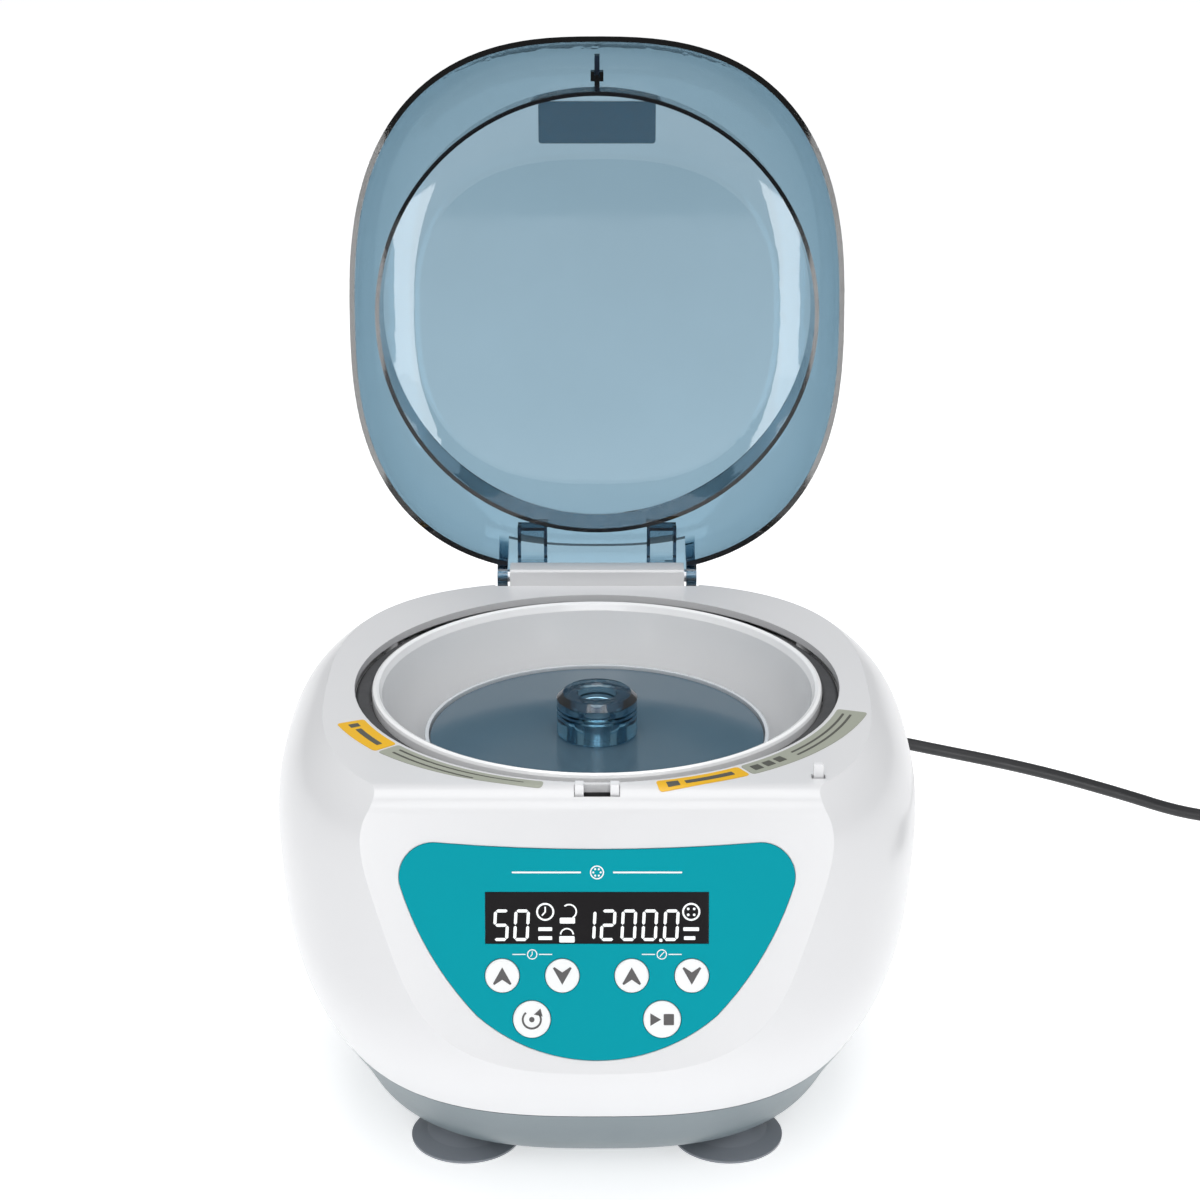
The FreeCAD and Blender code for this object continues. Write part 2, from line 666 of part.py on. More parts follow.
def lid_pieces():
    lid = doc.addObject("Part::Feature", "Lid")
    lid.Shape = lid_shape()
    on_lid(lid, "lid_shell")
    hook = doc.addObject("Part::Feature", "Hook")
    hook.Shape = latch_hook_shape()
    on_lid(hook, "latch_hook")
    badge = box((56, 20, 1.2), (-28, -227, "lid_height - 7"))
    turn(badge, Vector(1, 0, 0), 7)
    doc.recompute()
    edges = [i for i, e in enumerate(badge.Shape.Edges, 1) if abs(e.tangentAt(0).z) > 0.9]
    rounded = doc.addObject("Part::Fillet", "Badge")
    rounded.Base = badge
    rounded.Edges = [(i, 1.5, 1.5) for i in edges]
    on_lid(rounded, "lid_badge")


def hinge_pieces():
    """White bracket on the rear deck and the two pins that the lid turns on."""
    rise = "hinge_rise"
    back = "hinge_back"
    profile = (
        (119.5, "rim_top - 14"), (136, "rim_top - 14"), (f"{back} + 8", f"rim_top + {rise} - 1"),
        (f"{back} + 6.3", f"rim_top + {rise} + 3.6"), (f"{back} + 2", f"rim_top + {rise} + 6"),
        (120.5, f"rim_top + {rise} + 6"), (119.5, f"rim_top + {rise} + 5"),
    )
    block = pad("YZ_Plane", profile, "2 * bracket_half", midplane=True)
    base = box((99, 16.5, 6.5), (-49.5, 119.5, "rim_top - 14"))
    bores = [cylinder("pin_radius", 20, (start, back, f"rim_top + {rise}"), axis="X")
             for start in ("-bracket_half - 1", "bracket_half - 19")]
    keep(place(cut(fused([block, base]), bores), 0, 0, 0), "hinge_bracket")
    pins = []
    for start in ("-neck_half", "neck_half - 24.6"):
        pin = cylinder("pin_radius", 24.6, axis="X")
        pins.append(place(pin, start, back, f"rim_top + {rise}"))
    keep(compound(pins), "hinge_pins")


# ---------------------------------------------------------------- lid lock and lid sensor

def latch_pieces():
    top = "rim_top"
    prongs = [box((3.6, 4.2, 11), (start, -114.3, f"{top} - 9")) for start in (5.4, -9.0)]
    tie = box((18, 4.2, 2), (-9, -114.3, f"{top} - 9"))
    slot = box((5, 5, 4), (-2.5, -114.7, f"{top} - 10"))
    keep(place(cut(fused(prongs + [tie]), [slot]), 0, 0, 0), "latch_guide")
    bolt = box((34, 2.6, 3.6), (-36.5, -113.3, f"{top} - 14.4"))
    tip = box((0.2, 2.6, 3.6), (-2.6, -113.3, f"{top} - 14.4"))
    keep(place(fused([bolt, tip]), 0, 0, 0), "latch_bolt")
    body = box((24, 8.2, 8.8), (-62, -115.5, f"{top} - 19"))
    bore = box((30, 3.2, 4.2), (-50, -113.6, f"{top} - 14.7"))
    keep(place(cut(body, [bore]), 0, 0, 0), "latch_solenoid")
    cap = box((4, 2.6, 16))
    keep(place(cap, 88.6, -103.1, f"{top} - 10"), "lid_sensor_plunger")
    switch = box((20, 7, 10))
    keep(place(switch, 78, -104, f"{top} - 27"), "lid_microswitch")


# ---------------------------------------------------------------- control panel

def on_panel(items, label):
    """Place solids made in panel coordinates on the sloping apron as one piece."""
    group = compound(items)
    turn(group, Vector(1, 0, 0), "panel_lean")
    place(group, 0, "-panel_front", "rim_top - 1")
    return keep(group, label)


def panel_pieces():
    face = overlay_face()
    sheet_shape = face.extrude(Vector(0, 0, SIZES["overlay_thick"]))
    sheet_shape.translate(Vector(0, 0, -0.8))
    tools = key_holes(4) + [window_block(0.0, -5, 5)]
    overlay = doc.addObject("Part::Feature", "Overlay")
    overlay.Shape = sheet_shape.cut(Part.makeCompound(tools))
    on_panel([overlay], "panel_overlay")
    wide, tall = "window_width - 0.2", "window_height - 0.2"
    drop = "window_drop"
    window = box((wide, tall, 1.0), ("-window_width / 2 + 0.1", f"-{drop} - window_height / 2 + 0.1", -0.8))
    on_panel([window], "display_window")
    module = box((98, 30, 6), (-49, f"-{drop} - 15", -10.5))
    on_panel([module], "display_module")
    board = box((136, 68, 1.6), (-68, -102, -17))
    on_panel([board], "control_board")
    switches = []
    for label, (side, kind) in KEYS.items():
        radius, down = f"{kind}_radius", f"{kind}_drop"
        key = turned((
            (0, -11.3), (2, -11.3), (2, -5.4), (f"{radius} + 1.2", -5.4),
            (f"{radius} + 1.2", -4.2), (radius, -4.2), (radius, 0.5), (f"{radius} - 0.6", 0.9),
            (0, 0.9),
        ))
        key.Placement = Placement(Vector(side, -SIZES[down], 0), Rotation())
        bind(key, "Placement.Base.y", f"-{down}")
        on_panel([key], label)
        switches.append(box((6, 6, 3), (side - 3, f"-{down} - 3", -15.4)))
    on_panel(switches, "key_switches")


# ---------------------------------------------------------------- power section

def power_pieces():
    """Rear panel, inlet, switch, fuse drawer and the supply board behind them."""
    face, side, height = "rear_face", "inlet_side", "inlet_height"
    plate = box((74, 3, 34), (f"{side} - 50", f"{face} - 3", f"{height} - 17"))
    tools = [box((27.4, 12, 20), (f"{side} - 13.7", f"{face} - 6", f"{height} - 10")),
             box((13.4, 12, 22), ("rocker_side - 6.7", f"{face} - 6", f"{height} - 11"))]
    keep(place(cut(plate, tools), 0, 0, 0), "rear_panel")
    body = box((27, 18, 19.6), (f"{side} - 13.5", f"{face} - 17", f"{height} - 9.8"))
    flange = box((36, 1.6, 25), (f"{side} - 18", face, f"{height} - 12.5"))
    well = box((24, 14, 16.4), (f"{side} - 12", f"{face} - 10", f"{height} - 8.2"))
    blades = [box((2, 12, 4), (f"{side} + {x}", f"{face} - 11", f"{height} + {z}"))
              for x, z in ((-7.6, -3), (5.6, -3), (-1, 1))]
    keep(place(fused([cut(fused([body, flange]), [well])] + blades), 0, 0, 0), "power_inlet")
    frame = box((15.4, 1.6, 25), ("rocker_side - 7.7", face, f"{height} - 12.5"))
    sides = box((13, 12, 21.4), ("rocker_side - 6.5", f"{face} - 12", f"{height} - 10.7"))
    hollow = box((11, 12, 19), ("rocker_side - 5.5", f"{face} - 10", f"{height} - 9.5"))
    keep(place(cut(fused([frame, sides]), [hollow]), 0, 0, 0), "switch_frame")
    rocker = pad("YZ_Plane", ((-5.5, -2), (-5.5, 2), (2.6, 8.6), (4.4, 8.2), (1.6, 0), (2.6, -8.6),
                              (0.8, -8.6)), 10.4, midplane=True)
    pivot = cylinder(1.1, 10.9, (-5.45, 0, 0), "X")
    keep(place(fused([rocker, pivot]), "rocker_side", face, height), "power_rocker")
    board = box((110, 46, 1.6))
    keep(place(board, -55, 52, 24), "supply_board")
    block = box((30, 26, 24))
    keep(place(block, -50, 66, 25.6), "supply_transformer")
    cans = [place(cylinder(8, 22), x, 80, 25.6) for x in (-4, 16)]
    keep(compound(cans), "supply_capacitors")
    studs = [place(cylinder(3, "23.9 - base_bottom - shell_wall"), x, y, "base_bottom + shell_wall + 0.1")
             for x in (-44, 44) for y in (58, 84)]
    keep(compound(studs), "board_standoffs")


# ---------------------------------------------------------------- mains lead

def mains_points(route):
    return [Vector(x, y, z) for x, y, z in route]


def tangent_path(points, name):
    """Straight runs joined by arcs as large as the two runs allow."""
    edges, start, length = [], points[0], 0.0
    for before, corner, after in zip(points, points[1:], points[2:]):
        inward, outward = corner - before, after - corner
        turn_angle = inward.getAngle(outward)
        trim = 0.45 * min(inward.Length, outward.Length)
        radius = trim / math.tan(turn_angle / 2)
        print(f"{name}: turn {math.degrees(turn_angle):.1f} deg, radius {radius:.1f} mm")
        first = corner - inward / inward.Length * trim
        last = corner + outward / outward.Length * trim
        bisector = outward / outward.Length - inward / inward.Length
        centre = corner + bisector / bisector.Length * (radius / math.cos(turn_angle / 2))
        middle = centre + (corner - centre) / (corner - centre).Length * radius
        edges.append(Part.LineSegment(start, first).toShape())
        edges.append(Part.Arc(first, middle, last).toShape())
        start = last
    edges.append(Part.LineSegment(start, points[-1]).toShape())
    path = Part.Wire(edges)
    print(f"{name}: length {path.Length:.0f} mm")
    return path


def lead_tube(route, name):
    """Round tube along a route, closed at both ends."""
    points = mains_points(route)
    radius = SIZES["cord_diameter"] / 2
    path = tangent_path(points, name)
    circle = Part.Circle(points[0], points[1] - points[0], radius)
    tube = path.makePipeShell([Part.Wire(circle.toShape())], True, False)
    expected = math.pi * radius ** 2 * path.Length
    print(f"{name}: volume ratio {tube.Volume / expected:.4f}")
    return tube


def lead_pieces():
    """Connector in the inlet, the lead to the right, its put-away coil and the wall plug."""
    side, face, height = "inlet_side", "rear_face", "inlet_height"
    nose = box((23.4, 8, 15.8), (f"{side} - 11.7", f"{face} - 6.4", f"{height} - 7.9"))
    slots = [box((3, 12, 5), (f"{side} + {x}", f"{face} - 8", f"{height} + {z}"))
             for x, z in ((-8.1, -3.5), (5.1, -3.5), (-1.5, 0.5))]
    shell = box((27, 26, 19), (f"{side} - 13.5", f"{face} + 1.6", f"{height} - 9.5"))
    boot = turned(((0, 0), (7, 0), (4.6, 22.4), (0, 22.4)))
    turn(boot, Vector(1, 0, 0), -90)
    place(boot, side, f"{face} + 27.6 - rotor_y", height)
    connector = fused([cut(fused([nose, shell]), slots), boot])
    keep(place(connector, 0, 0, 0), "mains_connector")
    keep(sculpted(lead_tube(CORD_ROUTE, "lead")), "mains_lead")
    coil = doc.addObject("Part::Torus", "Coil")
    bind(coil, "Radius1", "coil_radius")
    bind(coil, "Radius2", "coil_thick")
    keep(place(coil, COIL_CENTRE[0], COIL_CENTRE[1], "coil_thick"), "mains_coil")
    keep(sculpted(lead_tube(TAIL_ROUTE, "tail")), "mains_tail")
    plug_pieces()


def plug_pieces():
    """Wall plug with two round pins, lying at the end of the tail."""
    grip = doc.addObject("Part::Cone", "Grip")
    grip.Radius1, grip.Radius2, grip.Height = 4.2, 9.0, 22
    grip.Placement = Placement(Vector(), AXES["X"])
    head = cylinder(16, 10, (22, 0, 0), axis="X")
    pins = [cylinder(2.4, 19, (32, y, 0), axis="X") for y in (-9.5, 9.5)]
    flat = box((60, 60, 40), (-1, -30, -48.5))
    roof = box((60, 60, 40), (-1, -30, 8.5))
    plug = cut(fused([grip, head] + pins), [flat, roof])
    turn(plug, Vector(0, 0, 1), PLUG_TURN)
    end = TAIL_ROUTE[-1]
    keep(place(plug, end[0], end[1], 8.6), "mains_plug")


def write_parts():
    doc.recompute()
    for item in doc.Objects:
        if "Invalid" in item.State or "Error" in item.State:
            raise RuntimeError(f"{item.Label} failed: {item.State}")
    os.makedirs("parts", exist_ok=True)
    for item in pieces:
        if item.Shape.isNull() or not item.Shape.isValid():
            raise RuntimeError(f"{item.Label} has no valid shape")
        item.Shape.exportStep(f"parts/{item.Label}.step")
    print(len(pieces), "pieces written")


fill_sheet()
housings()
feet()
bowl_pieces()
rotor_pieces()
motor_pieces()
lid_pieces()
hinge_pieces()
latch_pieces()
panel_pieces()
power_pieces()
lead_pieces()
write_parts()
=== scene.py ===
"""Looks of the bench centrifuge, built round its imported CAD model. Metres, Z up, -Y to the operator."""
import json
import math

import bmesh
import bpy
from mathutils import Matrix, Vector
from mathutils.bvhtree import BVHTree


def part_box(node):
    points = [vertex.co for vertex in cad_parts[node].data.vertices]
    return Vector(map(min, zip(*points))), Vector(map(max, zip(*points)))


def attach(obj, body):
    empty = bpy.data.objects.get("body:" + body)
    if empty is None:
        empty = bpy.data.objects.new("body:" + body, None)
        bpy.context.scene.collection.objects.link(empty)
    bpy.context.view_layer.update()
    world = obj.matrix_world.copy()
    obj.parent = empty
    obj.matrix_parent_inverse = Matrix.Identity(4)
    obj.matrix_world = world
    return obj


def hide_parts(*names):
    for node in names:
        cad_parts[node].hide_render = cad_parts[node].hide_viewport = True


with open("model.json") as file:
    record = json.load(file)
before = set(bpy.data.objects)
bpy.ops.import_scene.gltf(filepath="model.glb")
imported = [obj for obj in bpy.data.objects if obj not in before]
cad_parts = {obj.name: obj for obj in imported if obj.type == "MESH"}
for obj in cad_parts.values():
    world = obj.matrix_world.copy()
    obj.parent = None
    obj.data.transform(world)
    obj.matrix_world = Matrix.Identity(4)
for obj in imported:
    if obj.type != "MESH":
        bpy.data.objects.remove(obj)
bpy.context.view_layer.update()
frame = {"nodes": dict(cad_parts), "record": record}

MM = 0.001
ROTOR_Y = -0.0147
RIM_TOP = 0.190
CAMERA_BACK, CAMERA_RISE, CAMERA_DROP_DEG = 1.0893, 0.4552, 20.94
NODES = frame["nodes"]
scene = bpy.context.scene

# ---------------------------------------------------------------- camera

cam_data = bpy.data.cameras.new("Camera")
cam_data.sensor_width = 36.0
cam_data.lens = 79.55
cam_data.shift_x = 0.0025
cam_data.clip_start, cam_data.clip_end = 0.05, 50.0
camera = bpy.data.objects.new("Camera", cam_data)
camera.location = (0.0, ROTOR_Y - CAMERA_BACK, RIM_TOP + CAMERA_RISE)
camera.rotation_euler = (math.radians(90.0 - CAMERA_DROP_DEG), 0.0, 0.0)
scene.collection.objects.link(camera)
scene.camera = camera
scene.view_settings.view_transform = "Standard"

# ---------------------------------------------------------------- material helpers


class Shader:
    """A Principled material with its texture nodes, built one step at a time."""

    def __init__(self, name, colour, rough, **sockets):
        self.material = bpy.data.materials.new(name)
        self.material.use_nodes = True
        self.tree = self.material.node_tree
        self.bsdf = self.tree.nodes["Principled BSDF"]
        self.colour = (*colour, 1.0)
        self.bsdf.inputs["Base Color"].default_value = self.colour
        self.bsdf.inputs["Roughness"].default_value = rough
        self.rough = rough
        for socket, value in sockets.items():
            self.bsdf.inputs[socket.replace("_", " ")].default_value = value
        self.coordinates = self.node("ShaderNodeTexCoord").outputs["Object"]

    def node(self, kind, **settings):
        made = self.tree.nodes.new(kind)
        for key, value in settings.items():
            setattr(made, key, value)
        return made

    def link(self, source, target):
        self.tree.links.new(source, target)

    def stretched(self, scale):
        mapping = self.node("ShaderNodeMapping")
        mapping.inputs["Scale"].default_value = scale
        self.link(self.coordinates, mapping.inputs["Vector"])
        return mapping.outputs["Vector"]

    def noise(self, scale, detail=3.0, rough=0.55, vector=None):
        made = self.node("ShaderNodeTexNoise")
        made.inputs["Scale"].default_value = scale
        made.inputs["Detail"].default_value = detail
        made.inputs["Roughness"].default_value = rough
        self.link(vector or self.coordinates, made.inputs["Vector"])
        return made.outputs["Fac"]

    def ranged(self, value, low, high):
        """The middle of a noise's spread, stretched from low to high."""
        made = self.node("ShaderNodeMapRange")
        limits = {"From Min": 0.35, "From Max": 0.65, "To Min": low, "To Max": high}
        for socket, number in limits.items():
            made.inputs[socket].default_value = number
        self.link(value, made.inputs["Value"])
        return made.outputs["Result"]

    def mixed(self, factor, first, second):
        made = self.node("ShaderNodeMix", data_type="RGBA")
        self.link(factor, made.inputs["Factor"])
        for socket, value in ((6, first), (7, second)):
            if isinstance(value, tuple):
                made.inputs[socket].default_value = value
            else:
                self.link(value, made.inputs[socket])
        return made.outputs[2]

    def mottle(self, amount, scale=9.0):
        """Slow, faint change of colour over the surface, as moulded or painted parts have."""
        darker = tuple(c * (1.0 - amount) for c in self.colour[:3]) + (1.0,)
        lighter = tuple(min(1.0, c * (1.0 + amount * 0.6)) for c in self.colour[:3]) + (1.0,)
        self.link(self.mixed(self.ranged(self.noise(scale), 0.0, 1.0), darker, lighter),
                  self.bsdf.inputs["Base Color"])
        return self

    def smudge(self, amount, scale=35.0, vector=None):
        """Roughness that varies as handled and wiped surfaces do."""
        source = self.noise(scale, 5.0, 0.6, vector)
        self.link(self.ranged(source, max(0.02, self.rough - amount), self.rough + amount),
                  self.bsdf.inputs["Roughness"])
        return self

    def relief(self, distance, scale, detail=2.0, edge=0.0, vector=None):
        """Fine surface texture, over edges softened by a small radius."""
        bump = self.node("ShaderNodeBump")
        bump.inputs["Distance"].default_value = distance
        bump.inputs["Strength"].default_value = 1.0
        self.link(self.noise(scale, detail, 0.6, vector), bump.inputs["Height"])
        if edge:
            bevel = self.node("ShaderNodeBevel", samples=4)
            bevel.inputs["Radius"].default_value = edge
            self.link(bevel.outputs["Normal"], bump.inputs["Normal"])
        self.link(bump.outputs["Normal"], self.bsdf.inputs["Normal"])
        return self

    def let_lamps_through(self, tint):
        """Rays from lamps pass the clear plastic straight, tinted, so that what is behind it stays lit."""
        clear = self.node("ShaderNodeBsdfTransparent")
        clear.inputs["Color"].default_value = (*tint, 1.0)
        path, mix = self.node("ShaderNodeLightPath"), self.node("ShaderNodeMixShader")
        self.link(path.outputs["Is Shadow Ray"], mix.inputs[0])
        self.link(self.bsdf.outputs[0], mix.inputs[1])
        self.link(clear.outputs[0], mix.inputs[2])
        self.link(mix.outputs[0], self.tree.nodes["Material Output"].inputs["Surface"])
        return self


def moulded(name, colour, rough, coat=0.0, mottle=0.01, relief=0.00002, edge=0.0005, shine=0.5):
    """Opaque moulded plastic or paint, with the fine grain of its mould."""
    made = Shader(name, colour, rough, Coat_Weight=coat, Coat_Roughness=0.12, Specular_IOR_Level=shine)
    return made.mottle(mottle).smudge(0.02).relief(relief, 1500.0, edge=edge).material


def rubber(name, colour, rough=0.6, relief=0.00005, grain=2200.0):
    """Matt rubber with a fine, uneven skin."""
    made = Shader(name, colour, rough)
    return made.mottle(0.12, 60.0).smudge(0.08, 80.0).relief(relief, grain, 4.0, edge=0.0004).material


def metal(name, colour, rough, stretch=(40.0, 40.0, 900.0)):
    """Bare or plated metal with its grain drawn out along one way."""
    made = Shader(name, colour, rough, Metallic=1.0)
    grain = made.stretched(stretch)
    return made.mottle(0.08, 30.0).smudge(0.08, 6.0, grain).relief(0.000008, 6.0, 3.0, 0.0003, grain).material


BULK = 0.55


def tinted(name, through, wall, rough, lamp_tint, ior=1.58):
    """Clear tinted plastic: a wall of that thickness passes the colour called through.

    BULK is the share of the tint that the depth of the plastic gives; the rest is at its surface.
    """
    surface = tuple(share ** (1.0 - BULK) for share in through)
    made = Shader(name, surface, rough, Transmission_Weight=1.0, IOR=ior)
    made.mottle(0.02, 14.0).smudge(0.015, 30.0).relief(0.000004, 60.0, 1.0)
    losses = [-math.log(share) * BULK / wall for share in through]
    density = max(losses) * 1.05
    absorb = made.node("ShaderNodeVolumeAbsorption")
    absorb.inputs["Color"].default_value = (*[1.0 - loss / density for loss in losses], 1.0)
    absorb.inputs["Density"].default_value = density
    made.link(absorb.outputs[0], made.tree.nodes["Material Output"].inputs["Volume"])
    return made.let_lamps_through(lamp_tint).material


def circuit_board():
    """Green solder mask with lighter copper tracks and darker pads under it."""
    made = Shader("circuit_board", (0.02, 0.13, 0.06), 0.35, Coat_Weight=0.3)
    brick = made.node("ShaderNodeTexBrick")
    brick.inputs["Scale"].default_value = 180.0
    brick.inputs["Mortar Size"].default_value = 0.035
    brick.inputs["Color1"].default_value = (0.015, 0.11, 0.05, 1.0)
    brick.inputs["Color2"].default_value = (0.03, 0.16, 0.075, 1.0)
    brick.inputs["Mortar"].default_value = (0.07, 0.27, 0.14, 1.0)
    made.link(made.coordinates, brick.inputs["Vector"])
    made.link(brick.outputs["Color"], made.bsdf.inputs["Base Color"])
    return made.smudge(0.08).material


def winding():
    """Enamelled copper wire, wound in fine parallel turns, with painted shade in the grooves between turns
    and a painted highlight on their tops.
    """
    made = Shader("winding", (0.50, 0.20, 0.09), 0.35, Metallic=1.0)
    wave = made.node("ShaderNodeTexWave", bands_direction="Z")
    wave.inputs["Scale"].default_value = 350.0
    wave.inputs["Distortion"].default_value = 0.6
    made.link(made.coordinates, wave.inputs["Vector"])
    bump = made.node("ShaderNodeBump")
    bump.inputs["Distance"].default_value = 0.0002
    made.link(wave.outputs["Fac"], bump.inputs["Height"])
    made.link(bump.outputs["Normal"], made.bsdf.inputs["Normal"])
    # Painted shade in the grooves between turns and painted highlight on their tops, on the same bands as the
    # bump.
    groove_shade, crest_highlight = (0.30, 0.10, 0.04, 1.0), (0.62, 0.27, 0.13, 1.0)
    made.link(made.mixed(wave.outputs["Fac"], groove_shade, crest_highlight), made.bsdf.inputs["Base Color"])
    return made.material


SLOTS = {
    "shell_white": moulded("white_housing", (0.725, 0.725, 0.735), 0.30, coat=0.25, relief=0.000012),
    "base_grey": moulded("grey_base", (0.155, 0.195, 0.215), 0.36, mottle=0.015),
    "foot_rubber": moulded("smoked_foot", (0.27, 0.29, 0.325), 0.24, coat=0.3, mottle=0.08),
    "steel": metal("brushed_steel", (0.62, 0.62, 0.64), 0.30),
    # The bowl is white, and its colour is set lighter than the housing's white to make up for the shade
    # inside the bowl: painted light.
    "bowl_white": moulded("white_bowl_painted_bright", (0.94, 0.94, 0.945), 0.22, coat=0.4, relief=0.000008),
    "gasket_rubber": rubber("dark_rubber", (0.055, 0.055, 0.058)),
    "rotor_grey": moulded("rotor_rim", (0.62, 0.65, 0.68), 0.26, coat=0.3, edge=0.0008),
    "latch_white": moulded("white_latch", (0.84, 0.84, 0.85), 0.25, coat=0.3),
    "overlay_teal": moulded("teal_overlay", (0.0, 0.31, 0.375), 0.5, mottle=0.015, relief=0.000006,
                            shine=0.04),
    "key_white": moulded("white_key", (0.86, 0.87, 0.87), 0.30, coat=0.2, edge=0.0004),
    "display_black": moulded("display_glass", (0.012, 0.011, 0.012), 0.25, shine=0.08),
    "board_green": circuit_board(),
    "black_plastic": moulded("black_plastic", (0.02, 0.02, 0.022), 0.42, mottle=0.08, relief=0.00004),
    "copper": winding(),
    "magnet": metal("magnet", (0.13, 0.13, 0.14), 0.42),
    "motor_paint": moulded("motor_paint", (0.045, 0.05, 0.055), 0.38, coat=0.2, mottle=0.10),
    "aluminium": metal("aluminium", (0.74, 0.75, 0.77), 0.34, (500.0, 500.0, 60.0)),
    "cord_black": rubber("cord_black", (0.013, 0.013, 0.015), 0.42, 0.00002, 1800.0),
    "lid_blue": tinted("clear_blue_lid", (0.235, 0.36, 0.44), 0.0026, 0.03, (0.62, 0.74, 0.80)),
    "badge_blue": tinted("smoked_badge", (0.02, 0.13, 0.20), 0.0014, 0.08, (0.25, 0.35, 0.42), 1.45),
    "smoked_blue": moulded("smoked_cover", (0.070, 0.122, 0.165), 0.16, coat=0.4, mottle=0.05),
    "knob_blue": tinted("clear_blue_knob", (0.32, 0.50, 0.60), 0.012, 0.05, (0.3, 0.42, 0.5)),
}
WHITE_PRINT = moulded("white_print", (0.86, 0.87, 0.87), 0.45, edge=0.0, relief=0.000004)
GREY_PRINT = moulded("grey_print", (0.055, 0.052, 0.053), 0.45, edge=0.0, relief=0.000004)
LABEL_YELLOW = moulded("label_yellow", (0.84, 0.47, 0.012), 0.40, mottle=0.04, edge=0.0)
LABEL_GREEN = moulded("label_grey_green", (0.36, 0.375, 0.31), 0.45, mottle=0.04, edge=0.0)
LABEL_INK = moulded("label_ink", (0.09, 0.09, 0.075), 0.45, mottle=0.04, edge=0.0)
SILVER_LABEL = metal("silver_label", (0.70, 0.70, 0.71), 0.38, (900.0, 40.0, 900.0))

for row in frame["record"]["subparts"]:
    node = NODES[row["node"]]
    for place in node.material_slots:
        place.material = SLOTS[row["material_slot"]]


def glowing_segments():
    """Lit liquid-crystal segments: white, a little brighter than the print round them."""
    made = Shader("lit_segment", (0.86, 0.88, 0.88), 0.5, Emission_Strength=0.18)
    made.bsdf.inputs["Emission Color"].default_value = (0.9, 0.93, 0.95, 1.0)
    return made.mottle(0.02, 400.0).smudge(0.04, 300.0).material


SEGMENT = glowing_segments()

# ---------------------------------------------------------------- mesh helpers


def finished(name, bm, material, body):
    """Turn the bmesh into a piece that moves with that body and stands in that material slot."""
    bmesh.ops.recalc_face_normals(bm, faces=bm.faces)
    mesh = bpy.data.meshes.new(name)
    bm.to_mesh(mesh)
    bm.free()
    mesh.materials.append(material)
    item = bpy.data.objects.new(name, mesh)
    scene.collection.objects.link(item)
    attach(item, body)
    return item


def stroke(points, width, closed=False):
    """Outline of a line of that width: (left side, right side), with mitred corners."""
    left, right, count = [], [], len(points)
    for i, (x, y) in enumerate(points):
        before = points[i - 1] if i or closed else points[i]
        after = points[(i + 1) % count] if i + 1 < count or closed else points[i]
        inward = Vector((x - before[0], y - before[1]))
        outward = Vector((after[0] - x, after[1] - y))
        if inward.length < 1e-9:
            inward = outward
        if outward.length < 1e-9:
            outward = inward
        inward, outward = inward.normalized(), outward.normalized()
        bisector = (inward + outward).normalized()
        reach = width / 2 / max(0.35, bisector.dot(inward))
        normal = Vector((-bisector.y, bisector.x))
        left.append((x + normal.x * reach, y + normal.y * reach))
        right.append((x - normal.x * reach, y - normal.y * reach))
    return left, right


def arc(cx, cy, radius, start, end, count=24):
    angles = [math.radians(start + (end - start) * i / (count - 1)) for i in range(count)]
    return [(cx + radius * math.cos(a), cy + radius * math.sin(a)) for a in angles]


def add_prism(bm, outline, low, high, matrix):
    """A closed prism on the outline, in millimetres."""
    rings = [[bm.verts.new(matrix @ Vector((x * MM, y * MM, z * MM))) for x, y in outline]
             for z in (low, high)]
    bm.faces.new(rings[0][::-1])
    bm.faces.new(rings[1])
    for i in range(len(outline)):
        j = (i + 1) % len(outline)
        bm.faces.new((rings[0][i], rings[0][j], rings[1][j], rings[1][i]))


def add_ring(bm, outer, inner, low, high, matrix):
    """A closed band between two outlines with the same number of points."""
    grid = [[bm.verts.new(matrix @ Vector((x * MM, y * MM, z * MM))) for x, y in line]
            for line, z in ((outer, low), (outer, high), (inner, high), (inner, low))]
    for a in range(4):
        for i in range(len(outer)):
            j, b = (i + 1) % len(outer), (a + 1) % 4
            bm.faces.new((grid[a][i], grid[a][j], grid[b][j], grid[b][i]))


def print_on(name, shapes, low, high, matrix, material, body):
    """Printed or moulded marks: each shape is an outline, or (outer, inner) for a closed band."""
    bm = bmesh.new()
    for shape in shapes:
        if len(shape) == 2 and isinstance(shape[0], list):
            add_ring(bm, shape[0], shape[1], low, high, matrix)
        else:
            add_prism(bm, shape, low, high, matrix)
    return finished(name, bm, material, body)


def line(points, width):
    left, right = stroke(points, width)
    return left + right[::-1]


def ring(cx, cy, radius, width, count=40):
    step = 360.0 - 360.0 / count
    return (arc(cx, cy, radius + width / 2, 0, step, count), arc(cx, cy, radius - width / 2, 0, step, count))


def disc(cx, cy, radius, count=20):
    return arc(cx, cy, radius, 0, 360.0 - 360.0 / count, count)


def bar(cx, cy, width, height, corner=0.3):
    outline = []
    for sx, sy, start in ((1, 1, 0), (-1, 1, 90), (-1, -1, 180), (1, -1, 270)):
        x, y = cx + sx * (width / 2 - corner), cy + sy * (height / 2 - corner)
        outline += arc(x, y, corner, start, start + 90, 5)
    return outline


# ---------------------------------------------------------------- control panel

PANEL_FRONT, PANEL_LEAN_DEG = 0.117, 74.0
PANEL = (Matrix.Translation((0, ROTOR_Y - PANEL_FRONT, RIM_TOP - 0.001))
         @ Matrix.Rotation(math.radians(PANEL_LEAN_DEG), 4, "X"))
TITLE_Y, FIGURES_Y, CAPTION_Y, ARROW_KEY_Y, MODE_KEY_Y = -31.8, -52.9, -65.5, -74.3, -92.3
KEY_TOP, OVERLAY_TOP, WINDOW_TOP = 0.9, 0.3, 0.2

SEGMENTS = {"0": "abcdef", "1": "bc", "2": "abged", "5": "afgcd"}


